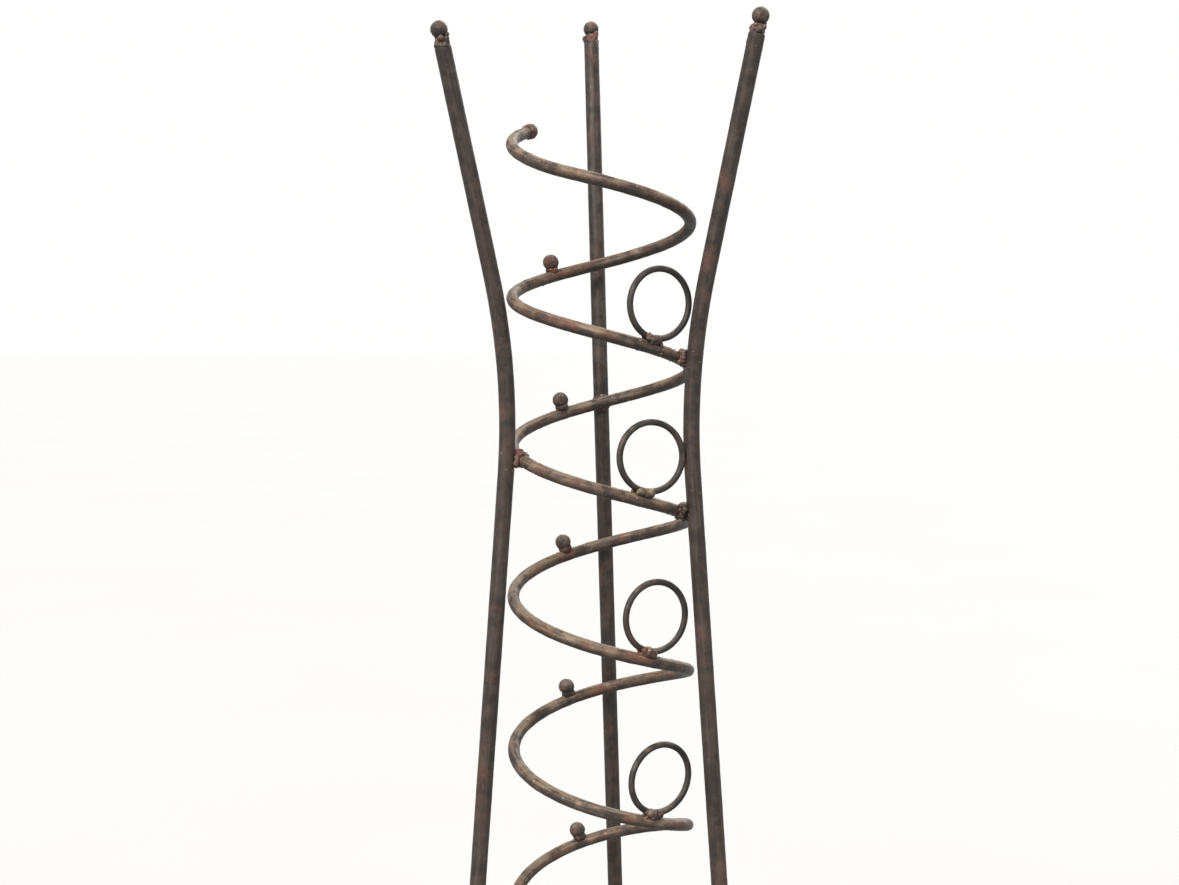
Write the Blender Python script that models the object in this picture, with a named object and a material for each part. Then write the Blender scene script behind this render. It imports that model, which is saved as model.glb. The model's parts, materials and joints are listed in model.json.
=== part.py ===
# Free-standing wrought-iron wine rack. A long coil of round bar is welded inside three splayed legs.
# Every turn carries an upright ring for a bottle's neck and a stop ball that keeps its body in place.
# Metres, +Z up. The origin is on the floor, in the middle of the rack's overall width and depth.
# Places along the coil are counted in turns: a whole number is on the right (+X), a quarter is
# at the back (+Y), a half is on the left and three quarters is at the front.

import math

import bmesh
import bpy
from mathutils import Matrix, Vector

GAP = 0.0003  # room between pieces that touch

# The coil: its radius is taken to the middle of the bar
COIL_RADIUS = 0.070
COIL_BAR = 0.0095
COIL_TOP_HEIGHT = 1.374
COIL_END_HEIGHT = 0.103
COIL_FIRST_TURN = 0.41
COIL_LAST_TURN = 10.25
PITCH_GROWTH = 0.0038  # each turn drops this much more than the one above
FREE_END_LIFT = 0.010  # how far the coil's free top end is bent up
FREE_END_TURNS = 0.28
FLARE_TURN = 8.95  # below here the coil opens out until it meets the legs
FLARE_TURNS = 0.6
SAMPLES_PER_TURN = 20

# The legs: round bar that bends at a waist, where the coil is welded in
LEG_BAR = 0.0127
WAIST_TURN = 2.35  # the coil's turn level with the waist
BEND_RADIUS = 0.520
UPPER_SPLAY = math.radians(12.9)
LOWER_SPLAY = math.radians(4.5)
LEG_RISE = 0.062  # the lowest leg's end above the coil's
BEND_SAMPLES = 9
FOOT_TOUCH = 0.0003  # extra room, since legs and coil meet at a slant

# Each leg: bearing in degrees at the waist, extra height, sideways slope, turns welded to it
LEGS = {
    "left": (207.0, 0.000, 0.0, {"waist": 2, "foot": 9}),
    "right": (328.0, 0.008, 0.0, {"upper_waist": 1, "lower_waist": 2, "foot": 9}),
    "back": (89.3, 0.037, 0.029, {"waist": 2, "foot": 10}),
}

# The balls on the legs' ends, on the coil's end and on each turn
FINIAL_BALL = 0.0134
FINIAL_STAND = 0.0125  # ball's centre above the leg's end
END_BALL = 0.0130
END_BALL_STAND = 0.0048  # ball's centre past the bar's end
STOP_BALL = 0.0134

# The neck rings
RING_BORE = 0.048
RING_BAR = 0.005
RING_LEG_CLEARANCE = 0.0005

# Set by hand for each bottle, from the top down, in degrees: the ring from where it clears the
# right leg, the stop ball from the common bearing
STOP_BEARING = 112.0
RING_SHIFTS = (0.0, 0.0, -2.5, 1.5, -1.0, -1.5, 0.5, -0.5)
STOP_SHIFTS = (11.5, 4.0, 2.0, -0.5, -8.5, -3.0, 1.0, -2.0)
FIRST_RING_TURN = 1
FIRST_STOP_TURN = 1

# Weld beads: half sizes along the bar or leg, across it, and outward
RING_BEAD = (0.0090, 0.0062, 0.0062)
RING_BEAD_RISE = 0.0017  # its middle above the bar's surface
STOP_BEAD = (0.0052, 0.0050, 0.0034)
FINIAL_BEAD = (0.0056, 0.0056, 0.0066)
JOINT_BEAD = (0.0075, 0.0085, 0.0043)

SETTLING_STEPS = 8  # rounds in which a bearing and the height it depends on settle
SHORTEST_SECTION = 0.01  # of the coil, in turns
CUTTER_SECTIONS = 1.5  # how many sections of the coil a cutter covers each way
SMOOTH_ANGLE = math.radians(50)
BAR_SIDES = 10
LEG_SIDES = 12
RING_SAMPLES = 24
RING_SIDES = 8

IRON = ((0.030, 0.026, 0.024), 0.55, 0.75)
RING_IRON = ((0.045, 0.038, 0.034), 0.50, 0.75)
BALL_IRON = ((0.060, 0.046, 0.038), 0.45, 0.80)
WELD_IRON = ((0.150, 0.090, 0.050), 0.60, 0.70)

UP = Vector((0.0, 0.0, 1.0))


def material(name, look):
    colour, roughness, metallic = look
    made = bpy.data.materials.new(name)
    made.use_nodes = True
    shader = made.node_tree.nodes["Principled BSDF"]
    shader.inputs["Base Color"].default_value = (*colour, 1.0)
    shader.inputs["Roughness"].default_value = roughness
    shader.inputs["Metallic"].default_value = metallic
    return made


def mesh_from(shape, name):
    bmesh.ops.recalc_face_normals(shape, faces=shape.faces)
    mesh = bpy.data.meshes.new(name)
    shape.to_mesh(mesh)
    shape.free()
    mesh.shade_smooth()
    mesh.set_sharp_from_angle(angle=SMOOTH_ANGLE)
    return mesh


def add_piece(name, mesh, look, frame=None):
    piece = bpy.data.objects.new(name, mesh)
    if not mesh.materials:
        mesh.materials.append(material(name, look))
    if frame:
        piece.matrix_local = frame
    piece.parent = rack
    bpy.context.scene.collection.objects.link(piece)
    return piece


def cut(piece, cutters):
    for cutter in cutters:
        boolean = piece.modifiers.new("clear of " + cutter.name, "BOOLEAN")
        boolean.operation = "DIFFERENCE"
        boolean.object = cutter


def add_cutter(name, mesh, frame=None):
    cutter = bpy.data.objects.new(name, mesh)
    if frame:
        cutter.matrix_local = frame
    cutter.parent = rack
    cutter.hide_render = True
    cutter.display_type = "WIRE"
    bpy.context.scene.collection.objects.link(cutter)
    return cutter


def frame_at(place, along, outward):
    """Frame at a place, its X along a bar and its Z as near outward as that allows."""
    x_axis = along.normalized()
    y_axis = outward.cross(x_axis).normalized()
    z_axis = x_axis.cross(y_axis)
    frame = Matrix((x_axis, y_axis, z_axis)).transposed().to_4x4()
    frame.translation = place
    return frame


def tube(name, points, side, diameter, sides, closed=False, level_foot=False):
    """Round bar through the points; side gives, for each, a direction roughly across the bar."""
    shape = bmesh.new()
    sections = []
    count = len(points)
    for index, point in enumerate(points):
        before = points[index - 1] if index or closed else point
        after = points[(index + 1) % count] if index + 1 < count or closed else point
        along = (after - before).normalized()
        across = along.cross(side(index)).normalized()
        other = across.cross(along)
        section = []
        for step in range(sides):
            angle = math.tau * step / sides
            corner = point + (across * math.cos(angle) + other * math.sin(angle)) * diameter / 2
            if level_foot and index == 0:
                corner -= along * ((corner.z - point.z) / along.z)
            section.append(shape.verts.new(corner))
        sections.append(section)
    pairs = list(zip(sections, sections[1:]))
    if closed:
        pairs.append((sections[-1], sections[0]))
    else:
        shape.faces.new(sections[0])
        shape.faces.new(sections[-1])
    for low, high in pairs:
        for step in range(sides):
            beside = (step + 1) % sides
            shape.faces.new((low[step], low[beside], high[beside], high[step]))
    return mesh_from(shape, name)


def ball_mesh(name, diameter):
    shape = bmesh.new()
    bmesh.ops.create_uvsphere(shape, u_segments=12, v_segments=8, radius=diameter / 2)
    return mesh_from(shape, name)


def bead_mesh(name, half_sizes):
    shape = bmesh.new()
    bmesh.ops.create_icosphere(shape, subdivisions=2, radius=1.0)
    bmesh.ops.scale(shape, vec=half_sizes, verts=shape.verts)
    return mesh_from(shape, name)


def eased(part):
    """Runs smoothly from 0 to 1 as part does, and stays there outside that range."""
    part = min(max(part, 0.0), 1.0)
    return part * part * (3 - 2 * part)


def coil_height(turn):
    turns = COIL_LAST_TURN - COIL_FIRST_TURN
    first_pitch = (COIL_TOP_HEIGHT - COIL_END_HEIGHT) / turns - PITCH_GROWTH * turns / 2
    run = turn - COIL_FIRST_TURN
    lift = FREE_END_LIFT * eased(1 - run / FREE_END_TURNS)
    return COIL_TOP_HEIGHT - run * (first_pitch + PITCH_GROWTH * run / 2) + lift


def waist_height():
    return coil_height(WAIST_TURN)


def leg_radius(height):
    """Distance of a leg's middle from the coil's axis: least at the waist, straight past the bend."""
    rise = height - waist_height()
    splay = UPPER_SPLAY if rise > 0 else LOWER_SPLAY
    bend_rise = BEND_RADIUS * math.sin(splay)
    least = COIL_RADIUS + COIL_BAR / 2 + LEG_BAR / 2 + GAP
    if abs(rise) < bend_rise:
        return least + BEND_RADIUS - math.sqrt(BEND_RADIUS**2 - rise**2)
    past = abs(rise) - bend_rise
    return least + BEND_RADIUS * (1 - math.cos(splay)) + past * math.tan(splay)


def leg_point(side, height):
    bearing, _, slope, _ = LEGS[side]
    outward = Vector((math.cos(math.radians(bearing)), math.sin(math.radians(bearing)), 0.0))
    sideways = UP.cross(outward) * slope * (height - waist_height())
    return outward * leg_radius(height) + sideways + UP * height


def leg_top(side):
    return COIL_TOP_HEIGHT + LEG_RISE + LEGS[side][1]


def leg_direction(side, height):
    step = 0.001
    return (leg_point(side, height + step) - leg_point(side, height - step)).normalized()


def coil_radius(turn):
    opened = eased((turn - FLARE_TURN) / FLARE_TURNS)
    leg_inside = leg_radius(coil_height(turn)) - LEG_BAR / 2 - COIL_BAR / 2 - GAP - FOOT_TOUCH
    return COIL_RADIUS + opened * (leg_inside - COIL_RADIUS)


def coil_point(turn):
    angle = math.tau * turn
    radius = coil_radius(turn)
    return Vector((radius * math.cos(angle), radius * math.sin(angle), coil_height(turn)))


def coil_direction(turn):
    step = 0.002
    return (coil_point(turn + step) - coil_point(turn - step)).normalized()


def coil_top(turn):
    """The bar's upper normal: square to it, in the upright plane along it."""
    along = coil_direction(turn)
    return (UP - along * along.dot(UP)).normalized()


def leg_turn(side, whole):
    """The coil's turn beside a leg, which leans, so the bearing is taken at the coil's height."""
    turn = whole + LEGS[side][0] / 360.0
    for _ in range(SETTLING_STEPS):
        beside = leg_point(side, coil_height(turn))
        turn = whole + (math.atan2(beside.y, beside.x) / math.tau) % 1.0
    return turn


def clear_turn(bottle):
    """As far round as the right leg lets this bottle's ring stand: level with the leg, or short of it."""
    beside_leg = FIRST_RING_TURN + bottle + LEGS["right"][0] / 360.0
    middle = (RING_BORE + RING_BAR) / 2
    stand = COIL_BAR / 2 + GAP + middle + RING_BAR / 2
    apart = (LEG_BAR + RING_BAR) / 2 + RING_LEG_CLEARANCE
    turn = beside_leg
    for _ in range(SETTLING_STEPS):
        slope = math.asin(-coil_direction(turn).z)
        reach = stand * math.sin(slope) + middle
        far_edge = math.hypot(COIL_RADIUS, reach)
        leg = leg_radius(coil_height(turn) + stand * math.cos(slope))
        alike = (far_edge**2 + leg**2 - apart**2) / (2 * far_edge * leg)
        between = math.acos(min(alike, 1.0))  # a leg further out than the clearance asks for none
        turn = beside_leg - (math.atan2(reach, COIL_RADIUS) + between) / math.tau
    return turn


def ring_turn(bottle):
    return clear_turn(bottle) + RING_SHIFTS[bottle] / 360.0


def stop_turn(bottle):
    return FIRST_STOP_TURN + bottle + (STOP_BEARING + STOP_SHIFTS[bottle]) / 360.0


def coil_samples(low, high):
    """The coil's section places between two turns, the same for the bar and for its cutters."""
    first = math.ceil(low * SAMPLES_PER_TURN)
    last = math.floor(high * SAMPLES_PER_TURN)
    return [index / SAMPLES_PER_TURN for index in range(first, last + 1)]


def coil_tube(name, turns, diameter):
    return tube(name, [coil_point(turn) for turn in turns], lambda index: UP, diameter, BAR_SIDES)


def coil_cutter(name, turn):
    """The coil's bar near a turn, a gap larger all round."""
    near = CUTTER_SECTIONS / SAMPLES_PER_TURN
    return add_cutter(name, coil_tube(name, coil_samples(turn - near, turn + near), COIL_BAR + 2 * GAP))


def leg_path(side, low, high):
    """Heights where a leg has a section: close together round the bend, and only the ends elsewhere."""
    bend_low = waist_height() - BEND_RADIUS * math.sin(LOWER_SPLAY)
    bend_high = waist_height() + BEND_RADIUS * math.sin(UPPER_SPLAY)
    steps = [bend_low + (bend_high - bend_low) * step / BEND_SAMPLES for step in range(BEND_SAMPLES + 1)]
    heights = [low, *(height for height in steps if low < height < high), high]
    return [leg_point(side, height) for height in heights]


def leg_tube(name, side, points, diameter, level_foot=False):
    bearing = math.radians(LEGS[side][0])
    across = Vector((-math.sin(bearing), math.cos(bearing), 0.0))
    return tube(name, points, lambda index: across, diameter, LEG_SIDES, level_foot=level_foot)


def ring_mesh(name, bar):
    middle = (RING_BORE + RING_BAR) / 2
    angles = [math.tau * step / RING_SAMPLES for step in range(RING_SAMPLES)]
    points = [Vector((math.cos(angle), 0.0, math.sin(angle))) * middle for angle in angles]
    return tube(name, points, lambda index: Vector((0.0, 1.0, 0.0)), bar, RING_SIDES, closed=True)


def build_legs():
    for side in LEGS:
        path = leg_path(side, 0.0, leg_top(side))
        add_piece("leg_" + side, leg_tube("leg_" + side, side, path, LEG_BAR, level_foot=True), IRON)


def build_finials():
    for side in LEGS:
        top = leg_point(side, leg_top(side))
        along = leg_direction(side, leg_top(side))
        frame = frame_at(top, UP.cross(along), along)
        above = frame @ Matrix.Translation((0.0, 0.0, FINIAL_STAND))
        add_piece("finial_" + side, ball_mesh("finial_" + side, FINIAL_BALL), BALL_IRON, above)

        ball_cutter = add_cutter(
            "cutter_finial_" + side, ball_mesh("cutter_finial_" + side, FINIAL_BALL + 2 * GAP), above
        )
        end_points = [top - along * LEG_BAR, top + along * GAP]
        end_mesh = leg_tube("cutter_leg_end_" + side, side, end_points, LEG_BAR + 2 * GAP)
        name = "finial_weld_" + side
        between = (FINIAL_STAND - FINIAL_BALL / 2) / 2
        bead_frame = frame @ Matrix.Translation((0.0, 0.0, between))
        bead = add_piece(name, bead_mesh(name, FINIAL_BEAD), WELD_IRON, bead_frame)
        cut(bead, [add_cutter(end_mesh.name, end_mesh), ball_cutter])


def build_coil():
    between = coil_samples(COIL_FIRST_TURN + SHORTEST_SECTION, COIL_LAST_TURN - SHORTEST_SECTION)
    turns = [COIL_FIRST_TURN, *between, COIL_LAST_TURN]
    add_piece("spiral_bar", coil_tube("spiral_bar", turns, COIL_BAR), IRON)

    start = coil_point(turns[0])
    along = (coil_point(turns[1]) - start).normalized()
    frame = frame_at(start - along * END_BALL_STAND, along, UP)
    ball = add_piece("spiral_end_ball", ball_mesh("spiral_end_ball", END_BALL), BALL_IRON, frame)
    socket_points = [start - along * GAP, start + along * END_BALL]
    socket = tube("cutter_end_socket", socket_points, lambda index: UP, COIL_BAR + 2 * GAP, BAR_SIDES)
    cut(ball, [add_cutter("cutter_end_socket", socket)])


def build_joint_welds():
    for side, (_, _, _, joints) in LEGS.items():
        name = "cutter_leg_" + side
        path = leg_path(side, 0.0, leg_top(side))
        around_leg = add_cutter(name, leg_tube(name, side, path, LEG_BAR + 2 * GAP, level_foot=True))
        for place, whole in joints.items():
            name = "joint_weld_" + side + "_" + place
            turn = leg_turn(side, whole)
            bar = coil_point(turn)
            leg = leg_point(side, bar.z)
            frame = frame_at((leg + bar) / 2, coil_direction(turn), leg - bar)
            bead = add_piece(name, bead_mesh(name, JOINT_BEAD), WELD_IRON, frame)
            cut(bead, [coil_cutter("cutter_bar_" + name, turn), around_leg])


def build_rings():
    ring = ring_mesh("neck_ring", RING_BAR)
    ring_cutter = ring_mesh("cutter_neck_ring", RING_BAR + 2 * GAP)
    for bottle in range(len(RING_SHIFTS)):
        number = str(bottle + 1)
        turn = ring_turn(bottle)
        touch = frame_at(coil_point(turn), coil_direction(turn), coil_top(turn))
        stand = COIL_BAR / 2 + GAP + RING_BAR + RING_BORE / 2
        centre = touch @ Matrix.Translation((0.0, 0.0, stand))
        add_piece("neck_ring_" + number, ring, RING_IRON, centre)

        name = "neck_ring_weld_" + number
        bead_frame = touch @ Matrix.Translation((0.0, 0.0, COIL_BAR / 2 + RING_BEAD_RISE))
        bead = add_piece(name, bead_mesh(name, RING_BEAD), WELD_IRON, bead_frame)
        around_ring = add_cutter("cutter_ring_" + number, ring_cutter, centre)
        cut(bead, [coil_cutter("cutter_bar_" + name, turn), around_ring])


def build_stops():
    ball = ball_mesh("stop_ball", STOP_BALL)
    ball_cutter = ball_mesh("cutter_stop_ball", STOP_BALL + 2 * GAP)
    for bottle in range(len(STOP_SHIFTS)):
        number = str(bottle + 1)
        turn = stop_turn(bottle)
        touch = frame_at(coil_point(turn), coil_direction(turn), coil_top(turn))
        stand = COIL_BAR / 2 + GAP + STOP_BALL / 2
        centre = touch @ Matrix.Translation((0.0, 0.0, stand))
        add_piece("stop_ball_" + number, ball, BALL_IRON, centre)

        name = "stop_ball_weld_" + number
        bead_frame = touch @ Matrix.Translation((0.0, 0.0, COIL_BAR / 2))
        bead = add_piece(name, bead_mesh(name, STOP_BEAD), WELD_IRON, bead_frame)
        around_ball = add_cutter("cutter_ball_" + number, ball_cutter, centre)
        cut(bead, [coil_cutter("cutter_bar_" + name, turn), around_ball])


def stand_on_origin():
    """Moves the whole rack so that its overall box is centred on the origin."""
    pieces = [piece for piece in rack.children if not piece.hide_render]
    corners = [piece.matrix_local @ corner.co for piece in pieces for corner in piece.data.vertices]
    middle = [(min(c[axis] for c in corners) + max(c[axis] for c in corners)) / 2 for axis in (0, 1)]
    rack.location = (-middle[0], -middle[1], 0.0)


for leftover in list(bpy.data.objects):
    bpy.data.objects.remove(leftover, do_unlink=True)
rack = bpy.data.objects.new("wine_rack", None)
bpy.context.scene.collection.objects.link(rack)

build_legs()
build_finials()
build_coil()
build_joint_welds()
build_rings()
build_stops()
stand_on_origin()
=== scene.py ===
import json
import math
import random

import bmesh
import bpy
import numpy as np
from mathutils import Matrix, Vector, noise


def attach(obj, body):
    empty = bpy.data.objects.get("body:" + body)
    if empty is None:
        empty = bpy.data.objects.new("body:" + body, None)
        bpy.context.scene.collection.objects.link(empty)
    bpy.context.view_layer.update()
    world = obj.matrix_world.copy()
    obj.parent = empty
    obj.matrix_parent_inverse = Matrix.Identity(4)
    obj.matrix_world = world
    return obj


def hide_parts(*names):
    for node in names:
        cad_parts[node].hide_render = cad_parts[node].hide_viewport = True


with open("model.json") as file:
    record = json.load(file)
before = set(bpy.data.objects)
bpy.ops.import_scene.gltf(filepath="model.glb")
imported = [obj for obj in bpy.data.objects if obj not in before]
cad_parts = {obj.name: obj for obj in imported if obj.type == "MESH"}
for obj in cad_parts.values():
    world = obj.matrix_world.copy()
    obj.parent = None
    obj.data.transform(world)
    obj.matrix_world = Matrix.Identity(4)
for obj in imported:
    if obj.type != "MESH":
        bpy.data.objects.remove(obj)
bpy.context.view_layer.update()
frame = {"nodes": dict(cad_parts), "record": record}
print("frame loaded:", len(frame["nodes"]), "pieces of iron")

upward = Vector((0.0, 0.0, 1.0))
millimetre = 0.001


class Wire:
    # an output socket that takes part in plain arithmetic
    def __init__(self, board, socket):
        self.board = board
        self.socket = socket

    def out(self, name):
        return Wire(self.board, self.socket.node.outputs[name])

    def maths(self, operation, first, second):
        return self.board.add("ShaderNodeMath", {"operation": operation}, {0: first, 1: second})

    def __add__(self, other):
        return self.maths("ADD", self, other)

    def __radd__(self, other):
        return self.maths("ADD", other, self)

    def __sub__(self, other):
        return self.maths("SUBTRACT", self, other)

    def __rsub__(self, other):
        return self.maths("SUBTRACT", other, self)

    def __mul__(self, other):
        return self.maths("MULTIPLY", self, other)

    def __rmul__(self, other):
        return self.maths("MULTIPLY", other, self)


class Board:
    # a node tree that nodes are laid out on
    def __init__(self, tree):
        self.tree = tree

    def add(self, kind, settings=None, sockets=None, output=0):
        node = self.tree.nodes.new(kind)
        for name, setting in (settings or {}).items():
            setattr(node, name, setting)
        for name, value in (sockets or {}).items():
            if isinstance(value, Wire):
                self.tree.links.new(value.socket, node.inputs[name])
            else:
                node.inputs[name].default_value = value
        return Wire(self, node.outputs[output]) if len(node.outputs) else None

    def blend(self, factor, first, second):
        return self.add("ShaderNodeMix", {"data_type": "RGBA"}, {0: factor, 6: first, 7: second}, 2)

    def edge(self, value, low, high):  # 0 below low, 1 above high, smooth between
        limits = {"Value": value, "From Min": low, "From Max": high}
        return self.add("ShaderNodeMapRange", {"interpolation_type": "SMOOTHSTEP"}, limits)

    def stretched(self, vector, stretch, shift=(0.0, 0.0, 0.0)):
        return self.add("ShaderNodeMapping", None, {"Vector": vector, "Scale": stretch, "Location": shift})

    def grain(self, vector, scale, detail=4.0, roughness=0.55):
        sockets = {"Vector": vector, "Scale": scale, "Detail": detail, "Roughness": roughness}
        return self.add("ShaderNodeTexNoise", None, sockets)


# how coarse each pattern in the iron is, in waves to the metre
ironGrain = {"mottle": 95.0, "blotch": 26.0, "fine": 900.0, "patch": 42.0, "specks": 430.0, "pits": 300.0}
# the values between which each pattern fades in, or how far past its start
ironFade = {
    "pits": (0.31, 0.39), "streaks": (0.42, 0.58),
    "brown": 0.12, "rust": 0.06, "scuffAndTopLight": 0.16, "speck": 0.04,
}
patchShift = (3.7, 1.3, 8.1)  # keeps the rust patches off the mottle
# painted shade on the undersides is full where the surface turns further down than this
paintedShadeFrom = -0.85
bumpDepth = 0.0006
ironSpecular = 0.28


def startMaterial(name):
    material = bpy.data.materials.new(name)
    material.use_nodes = True
    material.node_tree.nodes.clear()
    return material, Board(material.node_tree)


def ironFinish(name, look):
    # old painted iron: streaks along the bar, brown patches, rust, pale scuffs made paler on the tops by
    # painted light, and painted shade darkening the undersides
    material, board = startMaterial(name)
    place = board.add("ShaderNodeTexCoord").out("Object")
    if look["alongBar"]:
        bar = board.add("ShaderNodeAttribute", {"attribute_name": "barSpace"}).out("Vector")
    else:
        bar = place
    facing = board.add("ShaderNodeNewGeometry").out("Normal")
    upright = board.add("ShaderNodeSeparateXYZ", None, {0: facing}, 2)

    streaks = board.grain(board.stretched(bar, (1.0, 1.0, look["streakStretch"])), look["streakScale"], 5.0)
    mottle = board.grain(place, ironGrain["mottle"], 6.0, 0.62)
    blotch = board.grain(place, ironGrain["blotch"], 3.0)
    fine = board.grain(place, ironGrain["fine"], 3.0, 0.6)
    patch = board.grain(board.stretched(place, (1.0, 1.0, 1.0), patchShift), ironGrain["patch"], 5.0, 0.6)
    specks = board.grain(place, ironGrain["specks"], 2.0)
    pits = board.edge(board.grain(place, ironGrain["pits"], 4.0, 0.7), *ironFade["pits"])

    def starting(mark, pattern):
        return board.edge(pattern, look[mark + "From"], look[mark + "From"] + ironFade[mark])

    brown = starting("brown", blotch * 0.55 + mottle * 0.45)
    rust = starting("rust", patch * 0.7 + fine * 0.3)
    share = look["streakShare"]
    streaked = board.edge(streaks * share + mottle * (1.0 - share), *ironFade["streaks"])
    # pale scuffs of wear, made more likely on faces turned up: that part is painted light from above
    scuffedAndTopLit = starting("scuffAndTopLight", upright * 0.20 + mottle * 0.5 + streaks * 0.5)
    speckled = starting("speck", specks + upright * 0.04)
    # painted shade: darkens faces that turn down, broken up by the mottle
    paintedShade = 1.0 - board.edge(upright + (mottle - 0.5) * 1.4, paintedShadeFrom, look["paintedShadeTo"])

    colour = board.blend(streaked, look["dark"], look["base"])
    colour = board.blend(brown * look["brownAmount"], colour, look["brown"])
    colour = board.blend(rust * look["rustAmount"], colour, look["rust"])
    colour = board.blend(scuffedAndTopLit * look["scuffAndTopLightAmount"], colour, look["scuffAndTopLight"])
    # painted shade on the undersides, laid on in the pit colour
    colour = board.blend(paintedShade * look["paintedShadeAmount"], colour, look["pitAndPaintedShade"])
    colour = board.blend(speckled * look["speckAmount"], colour, look["speck"])
    colour = board.blend((1.0 - pits) * look["pitAmount"], colour, look["pitAndPaintedShade"])

    roughness = 0.44 + streaks * 0.14 + rust * 0.20 + fine * 0.12 - scuffedAndTopLit * 0.08
    height = streaks * 0.35 + mottle * 0.45 + fine * 0.22 + pits * 0.35 + rust * 0.25
    bumping = {"Strength": look["bump"], "Distance": bumpDepth, "Height": height}
    surface = {
        "Base Color": colour,
        "Roughness": roughness,
        "Metallic": 0.10 + streaked * 0.12 - rust * 0.08,
        "Normal": board.add("ShaderNodeBump", None, bumping),
        "Specular IOR Level": ironSpecular,
    }
    shader = board.add("ShaderNodeBsdfPrincipled", None, surface)
    board.add("ShaderNodeOutputMaterial", None, {"Surface": shader})
    return material


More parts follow.
